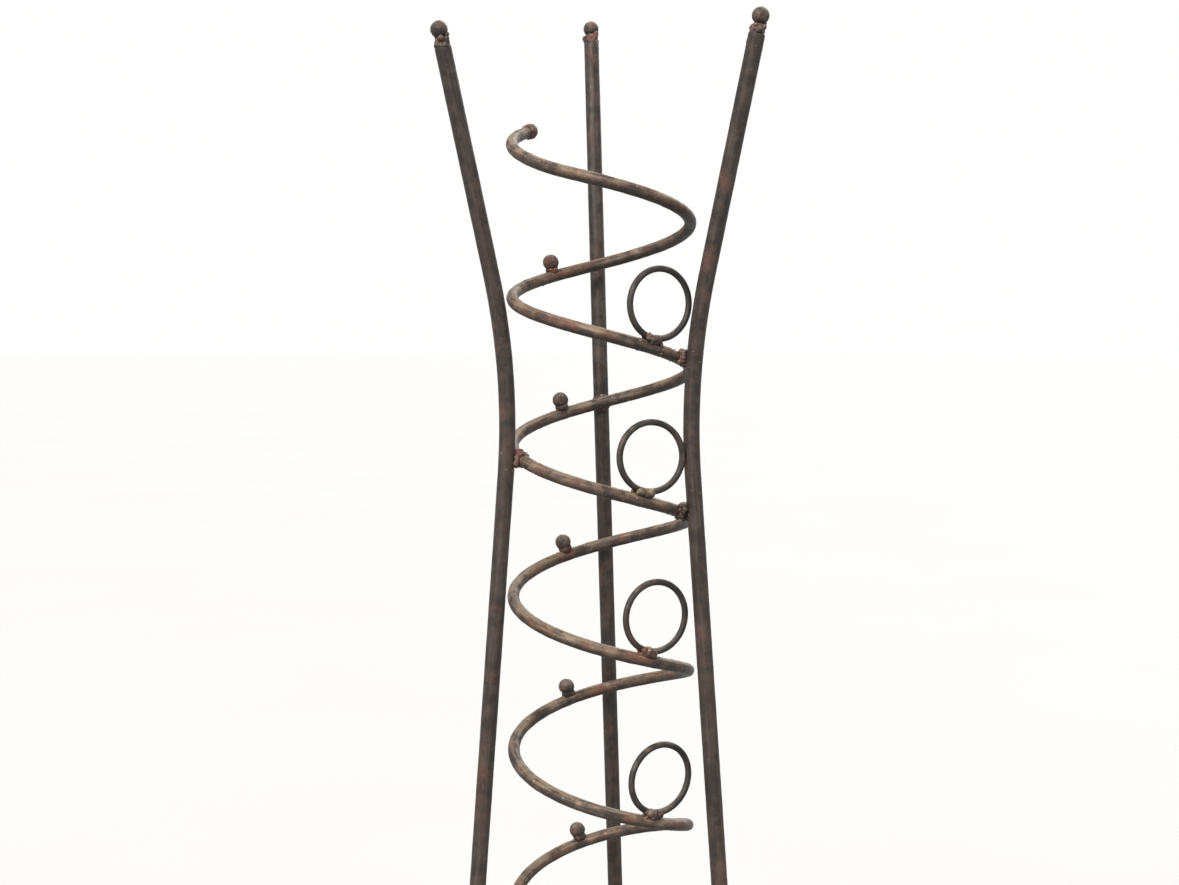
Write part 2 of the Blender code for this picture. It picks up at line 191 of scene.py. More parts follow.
# in each look the last two numbers set the painted shade on the undersides, and the scuff colour and
# numbers set the pale scuffs, which painted light makes paler on the tops
ironLooks = {
    "legIron": {
        "streakShare": 0.45, "alongBar": True, "streakStretch": 0.045, "streakScale": 520.0, "bump": 0.34,
        "base": (0.037, 0.028, 0.022, 1.0), "dark": (0.015, 0.011, 0.009, 1.0),
        "brown": (0.037, 0.022, 0.016, 1.0), "brownFrom": 0.50, "brownAmount": 0.55,
        "rust": (0.088, 0.038, 0.026, 1.0), "rustFrom": 0.550, "rustAmount": 0.52,
        "scuffAndTopLight": (0.075, 0.055, 0.039, 1.0), "scuffAndTopLightFrom": 0.55, "scuffAndTopLightAmount": 0.45,
        "speck": (0.20, 0.16, 0.12, 1.0), "speckFrom": 0.73, "speckAmount": 0.30,
        "pitAndPaintedShade": (0.010, 0.008, 0.007, 1.0), "pitAmount": 0.45, "paintedShadeTo": 0.30, "paintedShadeAmount": 0.45,
    },
    "coilIron": {
        "streakShare": 0.60, "alongBar": True, "streakStretch": 0.075, "streakScale": 430.0, "bump": 0.50,
        "base": (0.091, 0.065, 0.047, 1.0), "dark": (0.028, 0.019, 0.015, 1.0),
        "brown": (0.098, 0.056, 0.036, 1.0), "brownFrom": 0.47, "brownAmount": 0.60,
        "rust": (0.115, 0.044, 0.029, 1.0), "rustFrom": 0.54, "rustAmount": 0.60,
        "scuffAndTopLight": (0.178, 0.133, 0.092, 1.0), "scuffAndTopLightFrom": 0.56, "scuffAndTopLightAmount": 0.65,
        "speck": (0.36, 0.29, 0.21, 1.0), "speckFrom": 0.70, "speckAmount": 0.50,
        "pitAndPaintedShade": (0.012, 0.009, 0.007, 1.0), "pitAmount": 0.55, "paintedShadeTo": 0.42, "paintedShadeAmount": 0.88,
    },
    "ringIron": {
        "streakShare": 0.60, "alongBar": True, "streakStretch": 0.09, "streakScale": 640.0, "bump": 0.40,
        "base": (0.039, 0.030, 0.025, 1.0), "dark": (0.013, 0.010, 0.008, 1.0),
        "brown": (0.041, 0.025, 0.018, 1.0), "brownFrom": 0.50, "brownAmount": 0.50,
        "rust": (0.055, 0.021, 0.015, 1.0), "rustFrom": 0.56, "rustAmount": 0.50,
        "scuffAndTopLight": (0.128, 0.107, 0.087, 1.0), "scuffAndTopLightFrom": 0.58, "scuffAndTopLightAmount": 0.60,
        "speck": (0.24, 0.20, 0.16, 1.0), "speckFrom": 0.73, "speckAmount": 0.30,
        "pitAndPaintedShade": (0.009, 0.007, 0.006, 1.0), "pitAmount": 0.45, "paintedShadeTo": 0.40, "paintedShadeAmount": 0.75,
    },
    "ballIron": {
        "streakShare": 0.50, "alongBar": False, "streakStretch": 0.5, "streakScale": 240.0, "bump": 0.46,
        "base": (0.069, 0.049, 0.040, 1.0), "dark": (0.025, 0.018, 0.014, 1.0),
        "brown": (0.081, 0.044, 0.031, 1.0), "brownFrom": 0.46, "brownAmount": 0.60,
        "rust": (0.088, 0.032, 0.022, 1.0), "rustFrom": 0.54, "rustAmount": 0.60,
        "scuffAndTopLight": (0.149, 0.119, 0.095, 1.0), "scuffAndTopLightFrom": 0.58, "scuffAndTopLightAmount": 0.60,
        "speck": (0.28, 0.23, 0.18, 1.0), "speckFrom": 0.71, "speckAmount": 0.40,
        "pitAndPaintedShade": (0.010, 0.008, 0.007, 1.0), "pitAmount": 0.55, "paintedShadeTo": 0.35, "paintedShadeAmount": 0.80,
    },
    "weldIron": {
        "streakShare": 0.50, "alongBar": False, "streakStretch": 1.0, "streakScale": 310.0, "bump": 0.60,
        "base": (0.127, 0.095, 0.060, 1.0), "dark": (0.026, 0.018, 0.013, 1.0),
        "brown": (0.098, 0.058, 0.036, 1.0), "brownFrom": 0.46, "brownAmount": 0.60,
        "rust": (0.120, 0.040, 0.026, 1.0), "rustFrom": 0.52, "rustAmount": 0.70,
        "scuffAndTopLight": (0.248, 0.195, 0.125, 1.0), "scuffAndTopLightFrom": 0.58, "scuffAndTopLightAmount": 0.55,
        "speck": (0.46, 0.39, 0.28, 1.0), "speckFrom": 0.68, "speckAmount": 0.60,
        "pitAndPaintedShade": (0.010, 0.007, 0.005, 1.0), "pitAmount": 0.80, "paintedShadeTo": 0.30, "paintedShadeAmount": 0.75,
    },
    "jointIron": {
        "streakShare": 0.50, "alongBar": False, "streakStretch": 1.0, "streakScale": 310.0, "bump": 0.60,
        "base": (0.078, 0.055, 0.042, 1.0), "dark": (0.022, 0.015, 0.012, 1.0),
        "brown": (0.088, 0.050, 0.036, 1.0), "brownFrom": 0.44, "brownAmount": 0.65,
        "rust": (0.115, 0.040, 0.028, 1.0), "rustFrom": 0.50, "rustAmount": 0.70,
        "scuffAndTopLight": (0.170, 0.132, 0.104, 1.0), "scuffAndTopLightFrom": 0.58, "scuffAndTopLightAmount": 0.55,
        "speck": (0.38, 0.31, 0.24, 1.0), "speckFrom": 0.68, "speckAmount": 0.55,
        "pitAndPaintedShade": (0.009, 0.006, 0.005, 1.0), "pitAmount": 0.80, "paintedShadeTo": 0.30, "paintedShadeAmount": 0.75,
    },
}
finishes = {name: ironFinish(name, look) for name, look in ironLooks.items()}
print("finishes mixed:", ", ".join(finishes))


def newGeometryTree(name, inputs):
    tree = bpy.data.node_groups.new(name, "GeometryNodeTree")
    tree.is_modifier = True
    tree.interface.new_socket("Geometry", in_out="OUTPUT", socket_type="NodeSocketGeometry")
    tree.interface.new_socket("Geometry", in_out="INPUT", socket_type="NodeSocketGeometry")
    for label, kind in inputs.items():
        tree.interface.new_socket(label, in_out="INPUT", socket_type="NodeSocket" + kind)
    board = Board(tree)
    return board, board.add("NodeGroupInput")


def closeGeometryTree(board, geometry, material):
    smooth = board.add("GeometryNodeSetShadeSmooth", None, {0: geometry})
    real = board.add("GeometryNodeRealizeInstances", None, {0: smooth})
    finished = board.add("GeometryNodeSetMaterial", None, {0: real, "Material": material})
    board.add("NodeGroupOutput", None, {0: finished})


# waves to the metre of a bar's slow bends, its hammer dents and its scale marks
barWaves = {"bends": 34.0, "dents": 150.0, "marks": 620.0}


def barTree():
    # round bar along a line of points, a little out of true, with its own straight coordinates kept
    inputs = {
        "Diameter": "Float", "Sides": "Int", "Bends": "Float", "Dents": "Float", "Scale marks": "Float",
        "Material": "Material",
    }
    board, given = newGeometryTree("barAlongPath", inputs)
    curve = board.add("GeometryNodeMeshToCurve", None, {0: given})
    radius = given.out("Diameter") * 0.5
    section = {"Resolution": given.out("Sides"), "Radius": radius}
    circle = board.add("GeometryNodeCurvePrimitiveCircle", None, section)
    position = board.add("GeometryNodeInputPosition")
    storing = {"data_type": "FLOAT_VECTOR", "domain": "POINT"}
    marked = {0: circle, "Name": "across", "Value": position}
    profile = board.add("GeometryNodeStoreNamedAttribute", storing, marked)
    scale = board.add("GeometryNodeInputNamedAttribute", None, {"Name": "barScale"})
    sweep = {"Curve": curve, "Profile Curve": profile, "Scale": scale, "Fill Caps": True}
    bar = board.add("GeometryNodeCurveToMesh", None, sweep)

    bends = (board.grain(position, barWaves["bends"], 1.0) - 0.5) * given.out("Bends")
    dents = (board.grain(position, barWaves["dents"], 2.0) - 0.5) * given.out("Dents")
    marks = (board.grain(position, barWaves["marks"], 2.0) - 0.5) * given.out("Scale marks")
    depth = bends + dents + marks
    normal = board.add("GeometryNodeInputNormal")
    push = board.add("ShaderNodeVectorMath", {"operation": "SCALE"}, {0: normal, "Scale": depth})
    uneven = board.add("GeometryNodeSetPosition", None, {0: bar, "Offset": push})

    across = board.add("GeometryNodeInputNamedAttribute", {"data_type": "FLOAT_VECTOR"}, {"Name": "across"})
    along = board.add("GeometryNodeInputNamedAttribute", None, {"Name": "barAlong"})
    parts = board.add("ShaderNodeSeparateXYZ", None, {0: across})
    straight = board.add("ShaderNodeCombineXYZ", None, {0: parts, 1: parts.out("Y"), 2: along})
    marked = {0: uneven, "Name": "barSpace", "Value": straight}
    kept = board.add("GeometryNodeStoreNamedAttribute", storing, marked)
    closeGeometryTree(board, kept, given.out("Material"))
    return board.tree


def blobTree():
    # drops of weld metal at given points, each with its own size and turn
    board, given = newGeometryTree("weldDrops", {"Roundness": "Int", "Material": "Material"})
    ball = {"Radius": 1.0, "Subdivisions": given.out("Roundness")}
    drop = board.add("GeometryNodeMeshIcoSphere", None, ball)
    vector = {"data_type": "FLOAT_VECTOR"}
    size = board.add("GeometryNodeInputNamedAttribute", vector, {"Name": "dropSize"})
    turn = board.add("GeometryNodeInputNamedAttribute", vector, {"Name": "dropTurn"})
    rotation = board.add("FunctionNodeEulerToRotation", None, {0: turn})
    points = board.add("GeometryNodeMeshToPoints", None, {0: given})
    placing = {"Points": points, "Instance": drop, "Rotation": rotation, "Scale": size}
    drops = board.add("GeometryNodeInstanceOnPoints", None, placing)
    closeGeometryTree(board, drops, given.out("Material"))
    return board.tree


spatterSizes = (0.25, 1.0)  # least and greatest share of the drop's radius
spatterFlat = 0.7


def spatterTree():
    # small drops that flew from each weld and stuck to the bars near it
    inputs = {"Welds": "Object", "Reach": "Float", "Density": "Float", "Drop": "Float", "Seed": "Int"}
    board, given = newGeometryTree("weldSpatter", {**inputs, "Material": "Material"})
    welds = board.add("GeometryNodeObjectInfo", None, {"Object": given.out("Welds")}).out("Geometry")
    near = board.add("GeometryNodeProximity", {"target_element": "POINTS"}, {0: welds}).out("Distance")
    share = 1.0 - board.edge(near, 0.0, given.out("Reach"))
    seed = given.out("Seed")
    scatter = {"Mesh": given, "Density": given.out("Density") * share * share, "Seed": seed}
    points = board.add("GeometryNodeDistributePointsOnFaces", None, scatter)
    drop = board.add("GeometryNodeMeshIcoSphere", None, {"Radius": given.out("Drop"), "Subdivisions": 1})
    limits = {2: spatterSizes[0], 3: spatterSizes[1], "Seed": seed}
    chance = board.add("FunctionNodeRandomValue", {"data_type": "FLOAT"}, limits, 1)
    size = board.add("ShaderNodeCombineXYZ", None, {0: chance, 1: chance, 2: chance * spatterFlat})
    placing = {"Points": points, "Instance": drop, "Rotation": points.out("Rotation"), "Scale": size}
    drops = board.add("GeometryNodeInstanceOnPoints", None, placing)
    closeGeometryTree(board, drops, given.out("Material"))
    return board.tree


trees = {"bar": barTree(), "blobs": blobTree(), "spatter": spatterTree()}
print("geometry trees built:", ", ".join(trees))


def addObject(name, mesh):
    piece = bpy.data.objects.new(name, mesh)
    bpy.context.scene.collection.objects.link(piece)
    return piece


def grow(name, source, tree, values, modifiers=()):
    # runs a tree on a mesh and keeps the outcome as the piece's own plain mesh
    piece = addObject(name, source)
    growth = piece.modifiers.new("growth", "NODES")
    growth.node_group = tree
    for item in tree.interface.items_tree:
        if item.in_out == "INPUT" and item.name in values:
            growth[item.identifier] = values[item.name]
    for label, kind, settings in modifiers:
        modifier = piece.modifiers.new(label, kind)
        for key, value in settings.items():
            setattr(modifier, key, value)
    graph = bpy.context.evaluated_depsgraph_get()
    graph.update()
    grown = piece.evaluated_get(graph)
    mesh = bpy.data.meshes.new_from_object(grown, preserve_all_data_layers=True, depsgraph=graph)
    piece.modifiers.clear()
    piece.data = mesh
    mesh.name = name
    return piece


def dropAttributes(piece, *names):
    for name in names:
        if name in piece.data.attributes:
            piece.data.attributes.remove(piece.data.attributes[name])


def readVectors(items, name):
    values = np.empty(len(items) * 3)
    items.foreach_get(name, values)
    return values.reshape(-1, 3)


def settle(piece, slot, *nodes):
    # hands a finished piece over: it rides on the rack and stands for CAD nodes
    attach(piece, "root")
    if nodes:
        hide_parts(*nodes)


coil = {
    "radius": 0.070, "bar": 0.0095, "topHeight": 1.374, "endHeight": 0.103,
    "firstTurn": 0.41, "lastTurn": 10.25, "pitchGrowth": 0.0038, "endLift": 0.010, "endTurns": 0.28,
    "flareTurn": 8.95, "flareTurns": 0.6,
    "sectionsPerTurn": 280, "sides": 20, "endRound": 0.0009, "endSections": (0.0, 0.25, 0.55, 0.85),
    "bends": 0.00025, "dents": 0.00055, "marks": 0.00022,
}
legs = {
    "bar": 0.0127, "waistTurn": 2.35, "bendRadius": 0.520,
    "upperSplay": math.radians(12.9), "lowerSplay": math.radians(4.5), "rise": 0.062,
    "sectionLength": 0.0028, "sides": 28, "endRound": 0.0012, "footShear": 0.015,
    "bends": 0.00030, "dents": 0.00028, "marks": 0.00007,
    # bearing in degrees at the waist, extra height, sideways slope, turns welded to it
    "sidesOfRack": {
        "left": (207.0, 0.000, 0.0, {"waist": 2, "foot": 9}),
        "right": (328.0, 0.008, 0.0, {"upper_waist": 1, "lower_waist": 2, "foot": 9}),
        "back": (89.3, 0.037, 0.029, {"waist": 2, "foot": 10}),
    },
}
gap = 0.0003  # the room that the CAD leaves between pieces
footTouch = 0.0003


def eased(part):
    part = min(max(part, 0.0), 1.0)
    return part * part * (3 - 2 * part)


def coilHeight(turn):
    turns = coil["lastTurn"] - coil["firstTurn"]
    firstPitch = (coil["topHeight"] - coil["endHeight"]) / turns - coil["pitchGrowth"] * turns / 2
    run = turn - coil["firstTurn"]
    lift = coil["endLift"] * eased(1 - run / coil["endTurns"])
    return coil["topHeight"] - run * (firstPitch + coil["pitchGrowth"] * run / 2) + lift


waistHeight = coilHeight(legs["waistTurn"])


def legRadius(height):
    rise = height - waistHeight
    splay = legs["upperSplay"] if rise > 0 else legs["lowerSplay"]
    bend = legs["bendRadius"]
    least = coil["radius"] + coil["bar"] / 2 + legs["bar"] / 2 + gap
    if abs(rise) < bend * math.sin(splay):
        return least + bend - math.sqrt(bend**2 - rise**2)
    past = abs(rise) - bend * math.sin(splay)
    return least + bend * (1 - math.cos(splay)) + past * math.tan(splay)


def outwardOf(side):
    bearing = math.radians(legs["sidesOfRack"][side][0])
    return Vector((math.cos(bearing), math.sin(bearing), 0.0))


leftFoot = next(mount["pos_m"] for mount in frame["record"]["mounts"] if mount["name"] == "foot_left")
axis = Vector(leftFoot) - outwardOf("left") * legRadius(0.0)  # foot of the coil's upright axis


def legPoint(side, height):
    slope = legs["sidesOfRack"][side][2]
    outward = outwardOf(side)
    sideways = upward.cross(outward) * slope * (height - waistHeight)
    return axis + outward * legRadius(height) + sideways + upward * height


def legTop(side):
    return coil["topHeight"] + legs["rise"] + legs["sidesOfRack"][side][1]


def legDirection(side, height):
    return (legPoint(side, height + millimetre) - legPoint(side, height - millimetre)).normalized()


def coilPoint(turn):
    opened = eased((turn - coil["flareTurn"]) / coil["flareTurns"])
    inside = legRadius(coilHeight(turn)) - legs["bar"] / 2 - coil["bar"] / 2 - gap - footTouch
    radius = coil["radius"] + opened * (inside - coil["radius"])
    angle = math.tau * turn
    return axis + Vector((radius * math.cos(angle), radius * math.sin(angle), coilHeight(turn)))


def coilDirection(turn):
    step = 0.002
    return (coilPoint(turn + step) - coilPoint(turn - step)).normalized()


def frameAt(place, along, outward):
    # X along a bar, Z as near outward as that allows
    xAxis = along.normalized()
    yAxis = outward.cross(xAxis).normalized()
    made = Matrix((xAxis, yAxis, xAxis.cross(yAxis))).transposed().to_4x4()
    made.translation = place
    return made


def coilFrame(turn):
    along = coilDirection(turn)
    return frameAt(coilPoint(turn), along, upward - along * along.dot(upward))


def pathMesh(name, points, scales, closed=False):
    mesh = bpy.data.meshes.new(name)
    links = [(index, index + 1) for index in range(len(points) - 1)]
    if closed:
        links.append((len(points) - 1, 0))
    mesh.from_pydata(points, links, [])
    steps = [(after - before).length for before, after in zip(points, points[1:])]
    lengths = np.concatenate(([0.0], np.cumsum(steps)))
    mesh.attributes.new("barScale", "FLOAT", "POINT").data.foreach_set("value", scales)
    mesh.attributes.new("barAlong", "FLOAT", "POINT").data.foreach_set("value", lengths)
    return mesh


def roundedEnds(points, diameter, endRound):
    # how much narrower the bar is at each point, so that a cut end has a worn round edge
    steps = [(after - before).length for before, after in zip(points, points[1:])]
    lengths = np.concatenate(([0.0], np.cumsum(steps)))
    fromEnd = np.minimum(lengths, lengths[-1] - lengths)
    short = np.clip(1.0 - fromEnd / endRound, 0.0, 1.0)
    return 1.0 - (1.0 - np.sqrt(1.0 - short**2)) * endRound / (diameter / 2)


def endSteps(length, endRound, step):
    # distances along a bar: even steps, and close ones in its rounded ends
    close = [endRound * (1 - math.cos(math.radians(angle))) for angle in (0, 25, 45, 65, 90)]
    middle = np.linspace(endRound, length - endRound, max(2, int(length / step)))[1:-1]
    return [*close, *middle, *(length - distance for distance in reversed(close))]


def barPiece(name, points, scales, sizes, finish, closed=False):
    values = {
        "Diameter": sizes["bar"], "Sides": sizes["sides"], "Bends": sizes["bends"],
        "Dents": sizes["dents"], "Scale marks": sizes["marks"], "Material": finishes[finish],
    }
    piece = grow(name, pathMesh(name + "Path", points, scales, closed), trees["bar"], values)
    dropAttributes(piece, "barScale", "barAlong", "across")
    return piece


def levelFoot(piece, side):
    # leans the lowest sections over until the cut lies flat on the floor
    mesh = piece.data
    corners = readVectors(mesh.vertices, "co")
    along = readVectors(mesh.attributes["barSpace"].data, "vector")[:, 2]
    lean = legDirection(side, legs["footShear"])
    share = np.clip(1.0 - along / legs["footShear"], 0.0, 1.0)
    above = corners[:, 2] - along * lean.z
    corners -= (above * share / lean.z)[:, None] * np.array(lean)
    corners[:, 2] = np.maximum(corners[:, 2], 0.0)
    mesh.vertices.foreach_set("co", corners.ravel())


def makeLegs():
    for side in legs["sidesOfRack"]:
        top = legTop(side)
        heights = endSteps(top, legs["endRound"], legs["sectionLength"])
        points = [legPoint(side, height) for height in heights]
        ends = roundedEnds(points, legs["bar"], legs["endRound"])
        piece = barPiece("iron_leg_" + side, points, ends, legs, "legIron")
        levelFoot(piece, side)
        settle(piece, "leg_iron", "leg_" + side)
    print("legs stand")


def makeCoil():
    first, last = coil["firstTurn"], coil["lastTurn"]
    count = int((last - first) * coil["sectionsPerTurn"])
    turns = list(np.linspace(first, last, count))
    lowEnd = last - np.array(coil["endSections"]) * coil["endRound"] / (math.tau * coilRadiusAtEnd())
    turns = [*turns[:-1], *reversed(lowEnd)]
    points = [coilPoint(turn) for turn in turns]
    ends = roundedEnds(points, coil["bar"], coil["endRound"])
    piece = barPiece("iron_coil", points, ends, coil, "coilIron")
    settle(piece, "coil_iron", "spiral_bar")
    print("coil wound:", len(points), "sections")
    return piece


def coilRadiusAtEnd():
    end = coilPoint(coil["lastTurn"]) - axis
    return math.hypot(end.x, end.y)


rings = {
    "bore": 0.048, "bar": 0.005, "legClearance": 0.0005,
    "shifts": (0.0, 0.0, -2.5, 1.5, -1.0, -1.5, 0.5, -0.5),  # degrees round the coil, one for each ring
    "firstTurn": 1, "sections": 150, "sides": 16, "outOfRound": 0.00025,
    "bends": 0.00022, "dents": 0.00024, "marks": 0.00008, "settlingSteps": 8,
}


def ringTurn(bottle):
    # as far round as the right leg lets this ring stand, and the shift that it was given
    besideLeg = rings["firstTurn"] + bottle + legs["sidesOfRack"]["right"][0] / 360.0
    middle = (rings["bore"] + rings["bar"]) / 2
    stand = coil["bar"] / 2 + gap + middle + rings["bar"] / 2
    apart = (legs["bar"] + rings["bar"]) / 2 + rings["legClearance"]
    turn = besideLeg
    for _ in range(rings["settlingSteps"]):
        slope = math.asin(-coilDirection(turn).z)
        reach = stand * math.sin(slope) + middle
        farEdge = math.hypot(coil["radius"], reach)
        leg = legRadius(coilHeight(turn) + stand * math.cos(slope))
        alike = (farEdge**2 + leg**2 - apart**2) / (2 * farEdge * leg)
        between = math.acos(min(alike, 1.0))
        turn = besideLeg - (math.atan2(reach, coil["radius"]) + between) / math.tau
    return turn + rings["shifts"][bottle] / 360.0


def makeRings():
    middle = (rings["bore"] + rings["bar"]) / 2
    stand = coil["bar"] / 2 + gap + middle + rings["bar"] / 2
    for bottle in range(len(rings["shifts"])):
        centre = coilFrame(ringTurn(bottle)) @ Matrix.Translation((0.0, 0.0, stand))
        phase = 2.1 * bottle
        points = []
        for step in range(rings["sections"]):
            angle = math.tau * step / rings["sections"] - math.pi / 2
            radius = middle + rings["outOfRound"] * math.sin(2 * angle + phase)
            points.append(centre @ (Vector((math.cos(angle), 0.0, math.sin(angle))) * radius))
        number = str(bottle + 1)
        even = np.ones(len(points))
        piece = barPiece("iron_ring_" + number, points, even, rings, "ringIron", closed=True)
        settle(piece, "ring_iron", "neck_ring_" + number)
    print("neck rings bent:", len(rings["shifts"]))


balls = {
    "finial": 0.0134, "finialStand": 0.0125, "end": 0.0130, "endStand": 0.0048, "stop": 0.0134,
    "stopBearing": 112.0, "stopShifts": (11.5, 4.0, 2.0, -0.5, -8.5, -3.0, 1.0, -2.0), "firstStopTurn": 1,
    "subdivisions": 6, "hammerFlats": 9, "flat": 0.00035, "flattened": 0.8,
    "lumps": 0.00022, "lumpWaves": 2.3, "pits": 0.00012, "pitWaves": 9.0, "scaleWaves": 24.0,
}


def ballPiece(name, diameter, place, slot, node):
    # forged ball: a few flats left by the hammer, lumps, and fine scale
    chance = random.Random(name)
    flats = [
        Vector((chance.gauss(0, 1), chance.gauss(0, 1), chance.gauss(0, 1))).normalized()
        for _ in range(balls["hammerFlats"])
    ]
    shift = Vector((chance.random(), chance.random(), chance.random())) * 10
    shape = bmesh.new()
    bmesh.ops.create_icosphere(shape, subdivisions=balls["subdivisions"], radius=1.0)
    for corner in shape.verts:
        away = corner.co.normalized()
        radius = diameter / 2 - balls["lumps"]
        for flat in flats:
            cap = away.dot(flat) * radius - (diameter / 2 - balls["flat"])
            radius -= max(0.0, cap) * balls["flattened"]
        radius += balls["lumps"] * noise.noise(away * balls["lumpWaves"] + shift)
        radius += balls["pits"] * noise.noise(away * balls["pitWaves"] + shift)
        radius += balls["pits"] * 0.5 * noise.noise(away * balls["scaleWaves"] + shift)
        corner.co = away * radius
    mesh = bpy.data.meshes.new(name)
    shape.to_mesh(mesh)
    shape.free()
    mesh.transform(place)
    mesh.shade_smooth()
    mesh.materials.append(finishes["ballIron"])
    settle(addObject(name, mesh), slot, node)


def finialFrame(side):
    top = legTop(side)
    along = legDirection(side, top)
    return frameAt(legPoint(side, top), upward.cross(along), along)


def stopTurn(bottle):
    bearing = balls["stopBearing"] + balls["stopShifts"][bottle]
    return balls["firstStopTurn"] + bottle + bearing / 360.0


def endBallFrame():
    start = coilPoint(coil["firstTurn"])
    along = coilDirection(coil["firstTurn"] + 0.5 / 20)
    return frameAt(start - along * balls["endStand"], along, upward)


def makeBalls():
    for side in legs["sidesOfRack"]:
        place = finialFrame(side) @ Matrix.Translation((0.0, 0.0, balls["finialStand"]))
        ballPiece("iron_finial_" + side, balls["finial"], place, "ball_iron", "finial_" + side)
    ballPiece("iron_coil_end_ball", balls["end"], endBallFrame(), "ball_iron", "spiral_end_ball")
    stand = coil["bar"] / 2 + gap + balls["stop"] / 2
    for bottle in range(len(balls["stopShifts"])):
        number = str(bottle + 1)
        place = coilFrame(stopTurn(bottle)) @ Matrix.Translation((0.0, 0.0, stand))
        ballPiece("iron_stop_" + number, balls["stop"], place, "ball_iron", "stop_ball_" + number)
    print("balls forged")


welds = {
    "voxel": 0.00035, "smoothing": 2, "skin": 0.00016, "skinWaves": (900.0, 2400.0), "roundness": 3,
    "ring": {
        "rows": 4, "length": 0.0110, "aside": 0.0033, "above": 0.0017, "drop": 0.0030,
        "squash": (1.1, 0.95, 1.0), "alongJitter": 0.0008, "middleSwell": 1.10, "taper": 22,
        "crust": 34, "crustSpread": (0.0070, 0.0048, 0.0036), "crustDrop": 0.0013, "crustAbove": 0.0012,
        "rusty": ("1", "4", "7"),
    },
    "joint": {
        "drops": 13, "alongCoil": 0.0058, "alongLeg": 0.0046, "drop": 0.0024, "inward": 0.0009,
        "wave": 0.0015, "heart": 0.0040,
        "over": 0.0040, "overInward": 0.0036, "overAlong": (-0.0042, 0.0, 0.0042), "overDrop": 0.0022,
        "crust": 30, "crustInward": 0.0022, "crustSpread": (0.0056, 0.0056, 0.0034),
        "crustDrop": 0.0013, "heavy": {"left_waist": 14, "right_lower_waist": 9}, "heavyReach": 0.0034,
        "heavyDrop": 0.0022,
    },
    "finial": {
        "neck": 0.0055, "neckShare": 0.95, "collar": 10, "collarOut": 0.0043, "collarDrop": 0.0020,
        "collarHeights": (-0.0006, 0.0012), "lumps": 17, "lumpsOut": 0.0048, "lumpHeights": (0.2, 1.45),
        "lumpDrops": (0.0014, 0.0024),
    },
    "stop": {"drops": 9, "out": 0.0030, "above": 0.0011, "drop": 0.0024, "squash": (1.0, 1.0, 1.25)},
    "end": {"drops": 14, "out": 0.0047, "back": 0.0046, "drop": 0.0016, "squash": (1.0, 1.0, 1.0)},
}
# how unlike each other drops are: shift, swelling and lengthening as shares of the size, turn in radians
dropChance = {"shift": 0.22, "swell": (0.85, 1.18), "stretch": (0.88, 1.12), "turn": 0.35}
weldCentres = []


def dropOf(chance, place, size, squash=(1.0, 1.0, 1.0)):
    # a drop of weld metal: its middle, half sizes and turn, each a little different
    shift, turning = dropChance["shift"], dropChance["turn"]
    jitter = Vector([chance.uniform(-shift, shift) * size for _ in range(3)])
    spread = chance.uniform(*dropChance["swell"])
    sizes = [size * spread * part * chance.uniform(*dropChance["stretch"]) for part in squash]
    turn = [chance.uniform(-turning, turning) for _ in range(3)]
    return Vector(place) + jitter, sizes, turn


def keepMainLump(mesh):
    # a drop that melted into nothing would hang in the air, so only the greatest lump stays
    shape = bmesh.new()
    shape.from_mesh(mesh)
    waiting = set(shape.verts)
    lumps = []
    while waiting:
        lump = [waiting.pop()]
        for corner in lump:
            beside = {link.other_vert(corner) for link in corner.link_edges} & waiting
            waiting -= beside
            lump.extend(beside)
        lumps.append(lump)
    for lump in sorted(lumps, key=len)[:-1]:
        bmesh.ops.delete(shape, geom=lump, context="VERTS")
    shape.to_mesh(mesh)
    shape.free()
    return len(lumps) - 1


def weldPiece(name, place, drops, finish, *nodes):
    # melts the drops into one lumpy skin
    mesh = bpy.data.meshes.new(name + "Drops")
    mesh.from_pydata([drop[0] for drop in drops], [], [])
    for label, part in (("dropSize", 1), ("dropTurn", 2)):
        values = np.array([drop[part] for drop in drops])
        layer = mesh.attributes.new(label, "FLOAT_VECTOR", "POINT")
        layer.data.foreach_set("vector", values.ravel())
    melting = (
        ("melt", "REMESH", {"mode": "VOXEL", "voxel_size": welds["voxel"], "use_smooth_shade": True}),
        ("flow", "SMOOTH", {"factor": 0.5, "iterations": welds["smoothing"]}),
    )
    values = {"Roundness": welds["roundness"], "Material": finishes[finish]}
    piece = grow(name, mesh, trees["blobs"], values, melting)
    strays = keepMainLump(piece.data)
    if strays:
        print("loose drops left out of", name + ":", strays)
    shift = np.array((len(name), len(drops), 3.0))
    corners = readVectors(piece.data.vertices, "co")
    coarse, close = welds["skinWaves"]
    ripple = [
        noise.noise(Vector(corner * coarse + shift)) + 0.5 * noise.noise(Vector(corner * close + shift))
        for corner in corners
    ]
    corners += readVectors(piece.data.vertices, "normal") * np.array(ripple)[:, None] * welds["skin"]
    piece.data.vertices.foreach_set("co", corners.ravel())
    piece.data.transform(place)
    piece.data.materials.clear()
    piece.data.materials.append(finishes[finish])
    weldCentres.append(place.translation.copy())
    settle(piece, "weld_bead", *nodes)


def crust(chance, count, middle, spread, size):
    # small drops scattered through a lumpy weld
    drops = []
    for _ in range(count):
        place = [centre + chance.uniform(-1, 1) * reach for centre, reach in zip(middle, spread)]
        drops.append(dropOf(chance, place, size * chance.uniform(0.7, 1.25)))
    return drops


